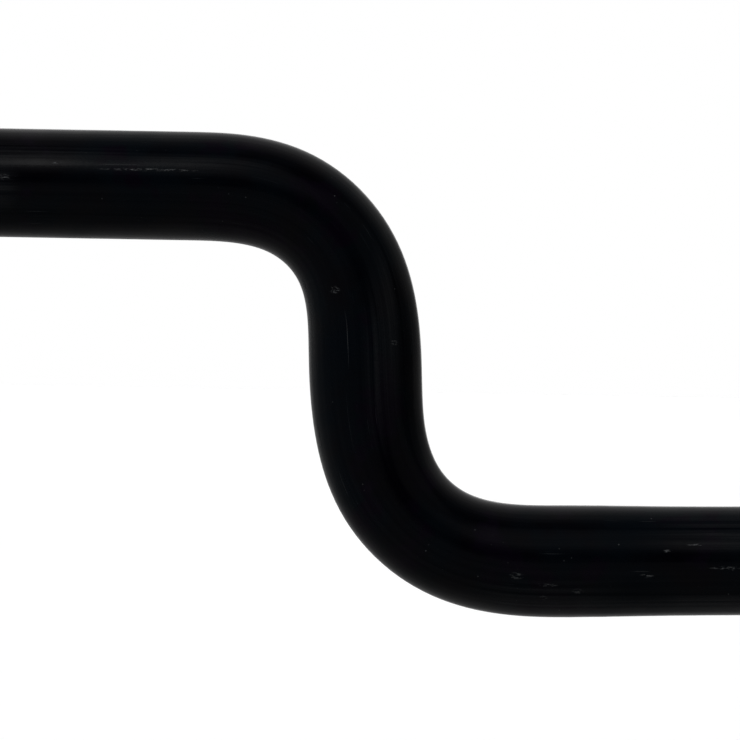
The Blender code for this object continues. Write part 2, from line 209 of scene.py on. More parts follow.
def mix(tree, kind, first, fac, a, b):
    node = add_node(tree, "ShaderNodeMix", data_type=kind)
    feed(tree, node.inputs[0], fac)
    feed(tree, node.inputs[first], a)
    feed(tree, node.inputs[first + 1], b)
    return node


def mix_colour(tree, fac, a, b):
    return mix(tree, "RGBA", 6, fac, a, b).outputs[2]


def mix_value(tree, fac, a, b):
    return mix(tree, "FLOAT", 2, fac, a, b).outputs[0]


def bump(tree, height, distance, strength, under=None):
    node = add_node(tree, "ShaderNodeBump")
    plug(tree, node, Height=height, Strength=strength, Distance=distance)
    if under is not None:
        plug(tree, node, Normal=under)
    return node.outputs["Normal"]


# Handling marks on the painted bar: centre (x, y, z), half length along x and half height, metres
SCUFFS = (
    (-0.2139, -0.0126, -0.1139, 0.0022, 0.0010),
    (-0.2076, -0.0110, -0.1190, 0.0012, 0.0008),
    (-0.2068, -0.0118, -0.1160, 0.0030, 0.0005),
    (-0.1995, -0.0113, -0.1173, 0.0017, 0.0007),
    (-0.1836, -0.0126, -0.1134, 0.0020, 0.0006),
    (-0.1789, -0.0126, -0.1075, 0.0014, 0.0005),
    (-0.1722, -0.0123, -0.1060, 0.0026, 0.0004),
    (-0.1650, -0.0127, -0.1112, 0.0052, 0.0005),
    (-0.3228, -0.0119, -0.0196, 0.0018, 0.0006),
    (-0.3010, -0.0123, -0.0208, 0.0150, 0.0004),
    (-0.3350, -0.0126, -0.0230, 0.0016, 0.0009),
    (-0.2434, -0.0110, -0.0600, 0.0010, 0.0010),
    (-0.2575, -0.0100, -0.0480, 0.0016, 0.0012),
)

# Soft dusty patches on the paint, given as the marks are; they also paint a sheen, a lighter tone where
# reflections lie on the bar's front
DUST_AND_SHEEN = (
    (-0.3350, -0.0105, -0.0180, 0.0420, 0.0042),
    (-0.2950, -0.0110, -0.0195, 0.0300, 0.0030),
    (-0.3360, -0.0105, -0.0240, 0.0060, 0.0100),
    (-0.1640, -0.0105, -0.1040, 0.0260, 0.0060),
    (-0.1640, -0.0105, -0.1200, 0.0300, 0.0050),
    (-0.2060, -0.0105, -0.1190, 0.0280, 0.0050),
    (-0.2460, -0.0110, -0.0600, 0.0060, 0.0320),
)


def patches(tree, where, entries, solid):
    """One inside each patch's flat middle, falling to zero at its edge."""
    total = None
    for x, y, z, half_l, half_h in entries:
        shift = vectors(tree, "SUBTRACT", where, (x, y, z))
        size = vectors(tree, "MULTIPLY", shift, (1.0 / half_l, 1.0 / PATCH_DEPTH, 1.0 / half_h))
        far = vectors(tree, "LENGTH", size, out="Value")
        one = remap(tree, far, solid, 1.0, 1.0, 0.0, True)
        total = one if total is None else maths(tree, "MAXIMUM", total, one)
    return total


def black_paint():
    """Gloss black paint: mottled depth, flow streaks, fine orange peel, dusty patches of painted sheen and
    light scuffs.
    """
    mat, tree, shader = shader_material("bar_black_gloss_paint")
    here = coords(tree)
    where = add_node(tree, "ShaderNodeTexCoord").outputs["Object"]
    streak = noise(tree, coords(tree, (9.0, 900.0, 1.0), "UV"), 1.0, 4.0, 0.6)
    hair = noise(tree, coords(tree, (40.0, 2600.0, 1.0), "UV"), 1.0, 2.0, 0.5)
    cloud = noise(tree, here, 60.0, 3.0, 0.55)
    hue = noise(tree, here, 75.0, 3.0, 0.6)
    peel = noise(tree, here, 900.0, 2.0, 0.5)
    ragged = noise(tree, coords(tree, (700.0, 1500.0, 2600.0)), 1.0, 4.0, 0.7)

    grit = cells(tree, here, 520.0)
    specks = remap(tree, grit, 0.05, 0.11, 1.0, 0.0)
    specks = maths(tree, "MULTIPLY", specks, remap(tree, noise(tree, here, 140.0, 2.0), 0.60, 0.68))
    marks = maths(tree, "MULTIPLY", patches(tree, where, SCUFFS, 0.2), remap(tree, ragged, 0.50, 0.62))
    scratch = maths(tree, "MULTIPLY", remap(tree, hair, 0.70, 0.76), remap(tree, cloud, 0.50, 0.66))
    worn = maths(tree, "MAXIMUM", marks, maths(tree, "MULTIPLY", scratch, 0.5))
    worn = maths(tree, "MAXIMUM", worn, maths(tree, "MULTIPLY", specks, 0.6))
    # Dusty haze that is also painted sheen: a mask that lightens the paint where reflections lie
    dust_and_sheen = maths(tree, "MULTIPLY", patches(tree, where, DUST_AND_SHEEN, 0.0), remap(tree, streak, 0.36, 0.66))
    dust_and_sheen = maths(tree, "MULTIPLY", dust_and_sheen, remap(tree, ragged, 0.30, 0.75, 0.6, 1.0))

    deep = mix_colour(tree, remap(tree, cloud, 0.34, 0.66, 0.0, 1.0, True),
                      (0.0002, 0.0001, 0.0007), (0.0005, 0.0013, 0.0023))
    deep = mix_colour(tree, remap(tree, hue, 0.52, 0.64, 0.0, 1.0, True), deep, (0.0010, 0.0004, 0.0020))
    # The painted sheen colour of the dusty patches
    deep = mix_colour(tree, dust_and_sheen, deep, (0.0085, 0.0090, 0.0100))
    colour = mix_colour(tree, worn, deep, (0.050, 0.052, 0.054))
    gloss = maths(tree, "ADD", remap(tree, cloud, 0.3, 0.7, 0.15, -0.15),
                  remap(tree, streak, 0.3, 0.7, 0.38, 0.62))
    rough = remap(tree, maths(tree, "ADD", streak, cloud), 0.7, 1.3, 0.15, 0.25)
    rough = maths(tree, "ADD", rough, maths(tree, "MULTIPLY", worn, 0.35))
    relief = bump(tree, peel, 0.00003, 0.35)
    relief = bump(tree, streak, 0.00004, 0.30, relief)
    relief = bump(tree, worn, 0.00003, 0.5, relief)
    plug(tree, shader, Base_Color=colour, IOR=1.12, Specular_IOR_Level=gloss, Roughness=rough,
         Normal=relief)
    return mat


def moulded_rubber(name, colour, grain):
    """Matt moulded rubber: fine grain, dusty bloom in patches."""
    mat, tree, shader = shader_material(name)
    here = coords(tree)
    fine = noise(tree, here, grain, 3.0, 0.6)
    patch = noise(tree, here, 90.0, 4.0, 0.6)
    bloom = tuple(c * 2.6 + 0.012 for c in colour)
    mixed = mix_colour(tree, remap(tree, patch, 0.42, 0.72), colour, bloom)
    rough = remap(tree, patch, 0.3, 0.7, 0.48, 0.72)
    plug(tree, shader, Base_Color=mixed, IOR=1.45, Roughness=rough, Normal=bump(tree, fine, 0.00008, 0.5))
    return mat


def plated_steel(name, light, dark, rough, tint, grain=500.0):
    """Zinc-plated steel: slight mottling, fine drawn lines and dull patches."""
    mat, tree, shader = shader_material(name)
    here = coords(tree)
    spangle = noise(tree, here, 160.0, 4.0, 0.6)
    lines = noise(tree, coords(tree, (1.0, 1.0, 14.0)), grain, 2.0, 0.5)
    hi = tuple(light * t for t in tint)
    lo = tuple(dark * t for t in tint)
    colour = mix_colour(tree, remap(tree, spangle, 0.32, 0.68), lo, hi)
    uneven = remap(tree, maths(tree, "ADD", spangle, lines), 0.6, 1.4, rough * 0.75, rough * 1.35)
    plug(tree, shader, Base_Color=colour, Metallic=1.0, Roughness=uneven,
         Normal=bump(tree, lines, 0.00002, 0.25))
    return mat


def turned_alloy():
    """Satin aluminium with fine turning marks round the bar's axis, on the faces and on the rim."""
    mat, tree, shader = shader_material("collar_turned_alloy")
    here = coords(tree)
    wave = add_node(tree, "ShaderNodeTexWave", wave_type="BANDS", bands_direction="Z")
    spoke = vectors(tree, "SUBTRACT", here, (0.0, 0.0, AXIS_Z))
    spoke = vectors(tree, "MULTIPLY", spoke, (0.0, 1.0, 1.0))
    split = add_node(tree, "ShaderNodeSeparateXYZ")
    plug(tree, split, Vector=here)
    merge = add_node(tree, "ShaderNodeCombineXYZ")
    plug(tree, merge, Z=maths(tree, "ADD", vectors(tree, "LENGTH", spoke, out="Value"), split.outputs["X"]))
    plug(tree, wave, Vector=merge.outputs[0], Scale=900.0, Distortion=1.0)
    cloud = noise(tree, here, 180.0, 3.0, 0.5)
    colour = mix_colour(tree, cloud, (0.60, 0.61, 0.63), (0.78, 0.79, 0.81))
    rough = remap(tree, cloud, 0.3, 0.7, 0.24, 0.38)
    plug(tree, shader, Base_Color=colour, Metallic=1.0, Roughness=rough,
         Normal=bump(tree, wave.outputs["Fac"], 0.00002, 0.3))
    return mat


def coated_link():
    """Satin black coating over a forging, with fine grain and rubbed edges."""
    mat, tree, shader = shader_material("link_satin_black_coating")
    here = coords(tree)
    fine = noise(tree, here, 1300.0, 3.0, 0.6)
    patch = noise(tree, here, 120.0, 4.0, 0.6)
    geo = add_node(tree, "ShaderNodeNewGeometry")
    rub = remap(tree, geo.outputs["Pointiness"], 0.54, 0.62)
    rub = maths(tree, "MULTIPLY", rub, remap(tree, patch, 0.48, 0.60))
    dark = mix_colour(tree, patch, (0.008, 0.008, 0.009), (0.022, 0.022, 0.024))
    colour = mix_colour(tree, rub, dark, (0.16, 0.16, 0.16))
    rough = remap(tree, patch, 0.3, 0.7, 0.30, 0.46)
    plug(tree, shader, Base_Color=colour, IOR=1.42, Roughness=rough, Normal=bump(tree, fine, 0.00006, 0.4))
    return mat


def liner_plastic():
    """Pale moulded plastic with a faint mottle."""
    mat, tree, shader = shader_material("seat_moulded_plastic")
    here = coords(tree)
    patch = noise(tree, here, 300.0, 3.0, 0.5)
    colour = mix_colour(tree, patch, (0.70, 0.68, 0.60), (0.80, 0.78, 0.72))
    rough = remap(tree, patch, 0.3, 0.7, 0.35, 0.5)
    plug(tree, shader, Base_Color=colour, Roughness=rough, Normal=bump(tree, patch, 0.00005, 0.3))
    return mat


PAINT = black_paint()
BUSH_RUBBER = moulded_rubber("bushing_moulded_rubber", (0.016, 0.016, 0.017), 1500.0)
BOOT_RUBBER = moulded_rubber("boot_soft_rubber", (0.011, 0.011, 0.012), 2600.0)
BRACKET_ZINC = plated_steel("bracket_zinc_plate", 0.62, 0.44, 0.34, (1.0, 0.99, 0.96))
FASTENER_ZINC = plated_steel("fastener_zinc_plate", 0.66, 0.50, 0.27, (1.0, 0.99, 0.97), 900.0)
CAP_ZINC = plated_steel("cap_zinc_plate", 0.58, 0.45, 0.30, (1.0, 0.99, 0.97), 700.0)
ALLOY = turned_alloy()
COATING = coated_link()
LINER = liner_plastic()


# ---------------------------------------------------------------- mesh helpers

def into_scene(name, data):
    obj = bpy.data.objects.new(name, data)
    bpy.context.scene.collection.objects.link(obj)
    return obj


def add_object(name, mesh, mat, place=None):
    if mat is not None:
        mesh.materials.append(mat)
    if place is not None:
        mesh.transform(place)
    return into_scene(name, mesh)


def mesh_from(bm, name):
    mesh = bpy.data.meshes.new(name)
    bm.to_mesh(mesh)
    bm.free()
    return mesh


def shade(mesh, angle=35.0):
    for poly in mesh.polygons:
        poly.use_smooth = True
    mesh.set_sharp_from_angle(angle=math.radians(angle))


def ring_mesh(name, rings, wrap_ends=False, caps=True, uv=None):
    """A skin over rings of points. A ring of one point closes the skin to a tip."""
    bm = bmesh.new()
    layers = [[bm.verts.new(p) for p in ring] for ring in rings]
    uv_layer = bm.loops.layers.uv.new("UVMap") if uv else None

    def face(verts, keys):
        made = bm.faces.new(verts)
        if uv_layer is not None:
            for loop, (i, k) in zip(made.loops, keys):
                loop[uv_layer].uv = uv(i, k)

    pairs = list(range(len(layers) - 1))
    if wrap_ends:
        pairs.append(len(layers) - 1)
    for i in pairs:
        j = (i + 1) % len(layers)
        a, b = layers[i], layers[j]
        count = max(len(a), len(b))
        for k in range(count):
            n = (k + 1) % count
            if len(a) == 1:
                face((a[0], b[n], b[k]), ((i, k), (i + 1, k + 1), (i + 1, k)))
            elif len(b) == 1:
                face((a[k], a[n], b[0]), ((i, k), (i, k + 1), (i + 1, k)))
            else:
                face((a[k], a[n], b[n], b[k]), ((i, k), (i, k + 1), (i + 1, k + 1), (i + 1, k)))
    if caps and not wrap_ends:
        for ring in (layers[0], layers[-1]):
            if len(ring) > 2:
                bm.faces.new(ring)
    bmesh.ops.recalc_face_normals(bm, faces=bm.faces)
    return mesh_from(bm, name)


def fillet(points, radius, steps=4, closed=False):
    """Rounds every corner of a profile whose turn is sharper than 20 degrees."""
    out = []
    count = len(points)
    for i in range(count):
        if not closed and i in (0, count - 1):
            out.append(points[i])
            continue
        p = Vector(points[i])
        a = Vector(points[i - 1]) - p
        b = Vector(points[(i + 1) % count]) - p
        turn = math.pi - a.angle(b)
        if turn < math.radians(20):
            out.append(points[i])
            continue
        cut = min(radius * math.tan(turn / 2), a.length * 0.45, b.length * 0.45)
        start = p + a.normalized() * cut
        end = p + b.normalized() * cut
        for s in range(steps + 1):
            t = s / steps
            q = start * (1 - t) ** 2 + p * 2 * t * (1 - t) + end * t * t
            out.append((q.x, q.y))
    return out


def lathe(name, profile, sides, mat, place, closed=False, thread=None, angle=35.0):
    """Turns (radius, height) points about local Z. thread is (low, high, pitch, depth) on the height."""
    rings = []
    for r, h in profile:
        if r < 1e-7:
            rings.append([Vector((0.0, 0.0, h))])
            continue
        ring = []
        for k in range(sides):
            a = math.tau * k / sides
            rr = r
            if thread and thread[0] < h < thread[1]:
                low, high, pitch, depth = thread
                phase = (h / pitch - k / sides) % 1.0
                edge = min(1.0, (h - low) / pitch, (high - h) / pitch)
                rr = r - depth * edge * (1.0 - abs(2.0 * phase - 1.0))
            ring.append(Vector((rr * math.cos(a), rr * math.sin(a), h)))
        rings.append(ring)
    mesh = ring_mesh(name, rings, wrap_ends=closed, caps=False)
    shade(mesh, angle)
    return add_object(name, mesh, mat, place)


def thread_steps(radius, low, high, pitch, per_turn=6):
    count = max(2, round((high - low) / pitch * per_turn))
    return [(radius, low + (high - low) * i / count) for i in range(count + 1)]


def hex_piece(name, low, high, place, chamfer=0.0011):
    """A hexagon with its corners turned down at the high end."""
    bm = bmesh.new()
    bmesh.ops.create_cone(bm, cap_ends=True, segments=6, radius1=HEX_R, radius2=HEX_R, depth=high - low)
    bmesh.ops.translate(bm, verts=bm.verts, vec=(0.0, 0.0, (high + low) / 2))
    hexagon = add_object(name, mesh_from(bm, name), None)
    big = HEX_R * 1.03
    small = HEX_R * 0.868
    drop = (big - small) * 0.5
    profile = [(0.0, low - 0.001), (big, low - 0.001), (big, high - drop), (small, high), (0.0, high)]
    turned = lathe(name + "_turned", profile, 48, None, None)
    solid = combine(hexagon, [("INTERSECT", turned)])
    solid.data.transform(place)
    return solid


def apply_modifiers(obj):
    bpy.context.view_layer.update()
    made = bpy.data.meshes.new_from_object(obj.evaluated_get(bpy.context.evaluated_depsgraph_get()))
    obj.modifiers.clear()
    old = obj.data
    obj.data = made
    bpy.data.meshes.remove(old)


def combine(base, steps):
    """Applies Boolean steps to an object and removes the other objects."""
    for operation, other in steps:
        mod = base.modifiers.new(operation, "BOOLEAN")
        mod.operation = operation
        mod.solver = "EXACT"
        mod.object = other
    apply_modifiers(base)
    for _, other in steps:
        data = other.data
        bpy.data.objects.remove(other)
        if data.users == 0:
            bpy.data.meshes.remove(data)
    return base


def finish_solid(obj, mat, angle=32.0):
    """One material all over, smooth round faces and crisp edges."""
    obj.data.materials.clear()
    obj.data.materials.append(mat)
    for poly in obj.data.polygons:
        poly.material_index = 0
    shade(obj.data, angle)
    return obj


def cylinder(name, radius, low, high, sides, place):
    profile = [(0.0, low), (radius, low), (radius, high), (0.0, high)]
    return lathe(name, profile, sides, None, place)


def block(name, size, centre):
    bm = bmesh.new()
    bmesh.ops.create_cube(bm, size=1.0)
    bmesh.ops.scale(bm, verts=bm.verts, vec=size)
    bmesh.ops.translate(bm, verts=bm.verts, vec=centre)
    return add_object(name, mesh_from(bm, name), None)


def settle(obj, body, slot, *nodes):
    """The piece rides on its body and stands for its CAD nodes; slot is not used."""
    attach(obj, body)
    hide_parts(*nodes)
    return obj


def along_x(x, y, z, sign=1):
    """Local Z points along X (sign 1) or against it (sign -1)."""
    return Matrix.Translation((x, y, z)) @ Matrix.Rotation(sign * math.pi / 2, 4, "Y")


def upright(x, y, z):
    return Matrix.Translation((x, y, z))


# ---------------------------------------------------------------- the bar

def eased_bend(before, corner, after, radius, ease, count):
    """Points and directions round a corner whose curvature rises and falls over the ease length."""
    d0 = (corner - before).normalized()
    d1 = (after - corner).normalized()
    angle = d0.angle(d1)
    side = (d1 - d0 * d0.dot(d1)).normalized()
    total = radius * angle + ease
    fine = 20 * count
    step = total / fine
    along = 0.0
    across = 0.0
    heading = 0.0
    track = [(0.0, 0.0, 0.0)]
    for i in range(fine):
        s = (i + 0.5) * step
        ramp = min(1.0, s / ease, (total - s) / ease)
        turn = step * ramp / radius
        mid = heading + turn / 2.0
        along += step * math.cos(mid)
        across += step * math.sin(mid)
        heading += turn
        track.append((along, across, heading))
    tail = across / math.sin(heading)
    start = corner - d0 * (along - tail * math.cos(heading))
    out = []
    for i in range(count + 1):
        a, c, h = track[20 * i]
        out.append((start + d0 * a + side * c, d0 * math.cos(h) + side * math.sin(h)))
    return out


def centreline():
    """Right half from the middle to the pad: points with directions, the arc length at each point,
    and the arc length at the middle of each bend."""
    low_z = AXIS_Z - DROP
    middle = Vector((0.0, 0.0, low_z + LEG_LOW_X * math.tan(RUN_TILT)))
    leg_low = Vector((LEG_LOW_X, 0.0, low_z))
    leg_top = Vector((LEG_TOP_X, 0.0, AXIS_Z))
    arm = Vector((ARM_X, 0.0, AXIS_Z))
    kink = Vector((EYE_X, ARM_KINK_Y, AXIS_Z))
    eye = Vector((EYE_X, EYE_Y, AXIS_Z))
    mirror = Vector((-LEG_LOW_X, 0.0, low_z))
    groups = [eased_bend(mirror, middle, leg_low, *MIDDLE_BEND, 8)[4:],
              eased_bend(middle, leg_low, leg_top, *LOW_BEND, 48),
              eased_bend(leg_low, leg_top, arm, *TOP_BEND, 44),
              eased_bend(leg_top, arm, kink, *ARM_BEND, 36),
              eased_bend(arm, kink, eye, *KINK_BEND, 4)]
    path = []
    middles = []
    for group in groups:
        if path:
            last, way = path[-1]
            gap = (group[0][0] - last).length
            steps = max(1, round(gap / RING_STEP))
            for i in range(1, steps):
                path.append((last.lerp(group[0][0], i / steps), way))
        middles.append(len(path) + len(group) // 2)
        path += group
    lengths = [0.0]
    for (a, _), (b, _) in zip(path[:-1], path[1:]):
        lengths.append(lengths[-1] + (b - a).length)
    return path, lengths, [lengths[i] for i in middles]


def swell(s, low_mid, top_mid):
    """In-plane width of the bar against its stock size: squeezed in the bends, fuller between them."""
    waves = ((low_mid - 0.038, 0.014, 0.030), (low_mid - 0.001, 0.0095, -0.018),
             ((low_mid + top_mid) / 2 + 0.002, 0.0105, 0.040), (top_mid - 0.003, 0.0105, -0.030))
    return 1.0 + sum(h * math.exp(-((s - c) / w) ** 2 / 2.0) for c, w, h in waves)


def round_square(angle):
    """A point on a unit square with soft corners, in the direction of the angle."""
    c = math.cos(angle)
    s = math.sin(angle)
    big = max(abs(c), abs(s))
    if min(abs(c), abs(s)) / big <= 1.0 - PAD_SOFT:
        return c / big, s / big
    m = 1.0 - PAD_SOFT
    dot = m * (abs(c) + abs(s))
    reach = dot + math.sqrt(dot * dot - (2.0 * m * m - PAD_SOFT * PAD_SOFT))
    return c * reach, s * reach


def flat_share(back):
    """How far the round bar has been forged flat, by distance in front of the eye."""
    t = min(1.0, max(0.0, (FORGED_FROM - back) / FORGED_OVER))
    return t * t * (3.0 - 2.0 * t)


def build_bar():
    """Sweeps the painted bar from pad to pad and drills the eyes. A section is its centre, direction,
    flatness, tip thinning, pad half width and arc length."""
    sides = 96
    path, lengths, mids = centreline()
    low_mid, top_mid = mids[1], mids[2]
    sections = []
    for (point, way), s in zip(path, lengths):
        sections.append((point, way, 0.0, 1.0, PAD_HALF_W, s))
    base = lengths[-1]
    ahead = Vector((0.0, 1.0, 0.0))
    last_y = path[-1][0].y
    steps = 26
    for i in range(1, steps + 1):
        y = last_y + (EYE_Y - last_y) * i / steps
        flat = flat_share(EYE_Y - y)
        sections.append((Vector((EYE_X, y, AXIS_Z)), ahead, flat, 1.0, PAD_HALF_W, base + y - last_y))
    tip = 14
    for i in range(1, tip + 1):
        a = math.radians(87.0) * i / tip
        y = EYE_Y + TIP_REACH * math.sin(a)
        thin = 1.0 if i < tip - 3 else 1.0 - 0.05 * (i - tip + 4)
        sections.append((Vector((EYE_X, y, AXIS_Z)), ahead, 1.0, thin, PAD_HALF_W * math.cos(a),
                         base + y - last_y))
    rings = []
    arc = []
    up = Vector((0.0, 0.0, 1.0))
    last = None
    for point, way, flat, thin, half_w, s in sections:
        if last is not None:
            up = last.rotation_difference(way) @ up
        last = way
        across = way.cross(up).normalized()
        wide = swell(s, low_mid, top_mid)
        ring = []
        for k in range(sides):
            a = math.tau * (k + 0.5) / sides
            px, py = round_square(a)
            ax = (1.0 - flat) * PAINTED_R * math.cos(a) + flat * PAD_HALF_T * thin * px
            az = (1.0 - flat) * PAINTED_R * wide * math.sin(a) + flat * half_w * py
            ring.append(point + across * ax + up * az)
        rings.append(ring)
        arc.append(s)
    left = [[Vector((-p.x, p.y, p.z)) for p in ring] for ring in rings[1:]]
    chain = list(reversed(left)) + rings
    run = [-s for s in reversed(arc[1:])] + arc
    mesh = ring_mesh("sway_bar_fine", chain, uv=lambda i, k: (run[i], math.tau * BAR_R * k / sides))
    shade(mesh, 40.0)
    bar = add_object("sway_bar_fine", mesh, PAINT)
    drills = []
    for tag, side in SIDES:
        reach = PAD_HALF_T
        wide = EYE_HOLE_R + EYE_LEAD
        profile = [(0.0, -reach - 0.004), (wide + 0.003, -reach - 0.004), (wide, -reach - 0.0001),
                   (EYE_HOLE_R, -reach + 0.0009), (EYE_HOLE_R, reach - 0.0009), (wide, reach + 0.0001),
                   (wide + 0.003, reach + 0.004), (0.0, reach + 0.004)]
        drills.append(("DIFFERENCE", lathe(f"drill_{tag}", profile, 64, None,
                                           along_x(side * EYE_X, EYE_Y, AXIS_Z))))
    combine(bar, drills)
    finish_solid(bar, PAINT, 40.0)
    settle(bar, "bar", "bar_paint", "sway_bar")


# ---------------------------------------------------------------- bushings and brackets

def d_ring(radius, bore, steps):
    """A split D section: round the outside from one slit edge to the other, and back along the bore."""
    top = -AXIS_Z
    half = SLIT_T / 2
    soft = 0.0025
    start = math.asin(half / radius)
    outer = [(radius * math.cos(start), half)]
    for i in range(1, 4):
        outer.append((radius, half + (top - soft - half) * i / 3))
    for i in range(1, 7):
        a = math.pi / 2 * i / 6
        outer.append((radius - soft + soft * math.cos(a), top - soft + soft * math.sin(a)))
    for i in range(1, 8):
        outer.append((radius - soft - 2 * (radius - soft) * i / 8, top))
    for i in range(0, 7):
        a = math.pi / 2 + math.pi / 2 * i / 6
        outer.append((-radius + soft + soft * math.cos(a), top - soft + soft * math.sin(a)))
    outer.append((-radius, (top - soft) / 2))
    for i in range(steps + 1):
        a = math.pi + (math.pi - start) * i / steps
        outer.append((radius * math.cos(a), radius * math.sin(a)))
    inner = []
    first = math.asin(half / bore)
    last = math.tau - first
    lengths = [0.0]
    for p, q in zip(outer[:-1], outer[1:]):
        lengths.append(lengths[-1] + math.dist(p, q))
    for p in outer:
        a = math.atan2(p[1], p[0]) % math.tau
        a = min(max(a, first), last)
        inner.append((bore * math.cos(a), bore * math.sin(a)))
    return outer, inner


def build_bushing(tag, x):
    """Split D bushing: lips at both ends, rounded edges, a slit at the rear."""
    body = BUSH_R
    lip = BUSH_LIP_R
    end = BUSH_HALF_L
    stations = [(-end, lip - 0.0010, 0.0008), (-end + 0.0003, lip - 0.0003, 0.0002),
                (-end + 0.0009, lip, 0.0), (-0.0164, lip, 0.0), (-0.0159, lip - 0.0003, 0.0),
                (-0.01565, lip - 0.0009, 0.0), (-0.0155, body + 0.0002, 0.0), (-0.0153, body, 0.0),
                (-0.006, body, 0.0)]
    stations += [(-x0, r, b) for x0, r, b in reversed(stations)]
    rings = []
    for dx, radius, bell in stations:
        outer, inner = d_ring(radius, BUSH_BORE_R + bell, 30)
        loop = outer + list(reversed(inner))
        rings.append([Vector((x + dx, y, AXIS_Z + z)) for y, z in loop])
    count = len(rings[0])
    half = count // 2
    mesh = ring_mesh(f"bushing_fine_{tag}", rings, caps=False)
    bm = bmesh.new()
    bm.from_mesh(mesh)
    bm.verts.ensure_lookup_table()
    for base in (0, (len(rings) - 1) * count):
        for k in range(half - 1):
            quad = [bm.verts[base + i] for i in (k, k + 1, count - 2 - k, count - 1 - k)]
            bm.faces.new(quad)
    bmesh.ops.recalc_face_normals(bm, faces=bm.faces)
    bm.to_mesh(mesh)
    bm.free()
    shade(mesh, 20.0)
    bush = add_object(f"bushing_fine_{tag}", mesh, BUSH_RUBBER)
    settle(bush, "mounting", "bushing_rubber", f"bushing_{tag}")


def strap_paths():
    """The middle line of the saddle strap, with its normals, from the rear foot to the front foot."""
    inner = BUSH_R + STRAP_GAP
    mid = inner + STRAP_T / 2
    bend_y = mid + FOOT_BEND_R
    bend_z = -STRAP_T / 2 - FOOT_BEND_R
    line = []
    for i in range(13):
        y = FOOT_END_Y - FOOT_CORNER_R * (1.0 - math.cos(math.pi / 2 * i / 12))
        line.append((y, -STRAP_T / 2, 0.0, 1.0))
    flat_y = FOOT_END_Y - FOOT_CORNER_R
    for i in range(1, 4):
        line.append((flat_y - (flat_y - bend_y) * i / 4, -STRAP_T / 2, 0.0, 1.0))
    for i in range(9):
        a = math.pi / 2 + math.pi / 2 * i / 8
        line.append((bend_y + FOOT_BEND_R * math.cos(a), bend_z + FOOT_BEND_R * math.sin(a),
                     math.cos(a), math.sin(a)))
    for i in range(1, 5):
        line.append((mid, bend_z + (AXIS_Z - bend_z) * i / 5, -1.0, 0.0))
    half = list(line)
    for i in range(33):
        a = -math.pi * i / 32
        line.append((mid * math.cos(a), AXIS_Z + mid * math.sin(a), -math.cos(a), -math.sin(a)))
    line += [(-y, z, -ny, nz) for y, z, ny, nz in reversed(half)]
    return line


def build_bracket(tag, x):
    """Pressed saddle strap: rolled edges, a raised rib round the belly and rounded feet."""
    line = strap_paths()
    half_w = STRAP_HALF_W
    edge = 0.0007
    columns = [-1.0, -0.96, -0.86, -0.45, -0.30, -0.22, -0.10, 0.10, 0.22, 0.30, 0.45, 0.86, 0.96, 1.0]
    rings = []
    for y, z, ny, nz in line:
        reach = half_w
        over = abs(y) - (FOOT_END_Y - FOOT_CORNER_R)
        if over > 0.0:
            reach = half_w - FOOT_CORNER_R + math.sqrt(max(0.0, FOOT_CORNER_R ** 2 - over ** 2))
        belly = max(0.0, min(1.0, (-z - 0.010) / 0.006))
        ring = []
        for side in (1, -1):
            for c in (columns if side > 0 else list(reversed(columns))):
                off = STRAP_T / 2
                if abs(c) > 0.9:
                    off -= edge * (abs(c) - 0.9) / 0.1 * 0.9
                rib = 0.0008 * belly if abs(c) < 0.25 and side < 0 else 0.0
                shift = side * off - (rib if side < 0 else 0.0)
                ring.append(Vector((x + c * reach, y + ny * shift, z + nz * shift)))
        rings.append(ring)
    mesh = ring_mesh(f"bracket_fine_{tag}", rings)
    bracket = add_object(f"bracket_fine_{tag}", mesh, BRACKET_ZINC)
    drills = []
    for side in (-1, 1):
        profile = [(0.0, -0.008), (HOLE_R + 0.0050, -0.008), (HOLE_R + 0.0004, -STRAP_T - 0.0001),
                   (HOLE_R, -STRAP_T + 0.0004), (HOLE_R, -0.0004), (HOLE_R + 0.0004, 0.0001),
                   (HOLE_R + 0.0050, 0.005), (0.0, 0.005)]
        drills.append(("DIFFERENCE", lathe(f"foot_drill_{tag}_{side + 1}", profile, 40, None,
                                           upright(x, side * HOLE_Y, 0.0))))
    combine(bracket, drills)
    finish_solid(bracket, BRACKET_ZINC, 40.0)
    settle(bracket, "mounting", "bracket_steel", f"bracket_{tag}")


def build_bolt(word, tag, x, y):
    """Hex flange bolt put in from below, thread standing above the foot."""
    seat = -STRAP_T - GAP
    low, high = seat + 0.006, BOLT_ABOVE - 0.0008
    profile = [(0.0, seat - FLANGE_T), (HEX_R * 0.8, seat - FLANGE_T), (HEX_R, seat - FLANGE_T),
               (FLANGE_R - 0.0004, seat - 0.0011), (FLANGE_R, seat - 0.0008), (FLANGE_R, seat - 0.0002),
               (FLANGE_R - 0.0002, seat), (BOLT_R + 0.0003, seat), (BOLT_R, seat + 0.0003)]
    profile += thread_steps(BOLT_R, low, high, M10_PITCH)
    profile += [(BOLT_R - 0.0010, BOLT_ABOVE), (0.0, BOLT_ABOVE)]
    place = upright(x, y, 0.0)
    bolt = lathe(f"bolt_fine_{word}_{tag}", profile, 48, None, place,
                 thread=(low, high, M10_PITCH, M10_DEPTH))
    down = Matrix.Translation((x, y, 0.0)) @ Matrix.Rotation(math.pi, 4, "X")
    head = hex_piece(f"head_{word}_{tag}", -seat + FLANGE_T - 0.0012, -seat + FLANGE_T + HEAD_H, down)
    dish = lathe(f"dish_{word}_{tag}", [(0.0, -0.0009), (0.0050, -0.0006), (0.0054, 0.001), (0.0, 0.001)],
                 48, None, upright(x, y, seat - FLANGE_T - HEAD_H) @ Matrix.Rotation(math.pi, 4, "X"))
    combine(bolt, [("UNION", head), ("DIFFERENCE", dish)])
    finish_solid(bolt, FASTENER_ZINC)
    settle(bolt, "mounting", "fastener_steel", f"bolt_{word}_{tag}")


# ---------------------------------------------------------------- lock collars

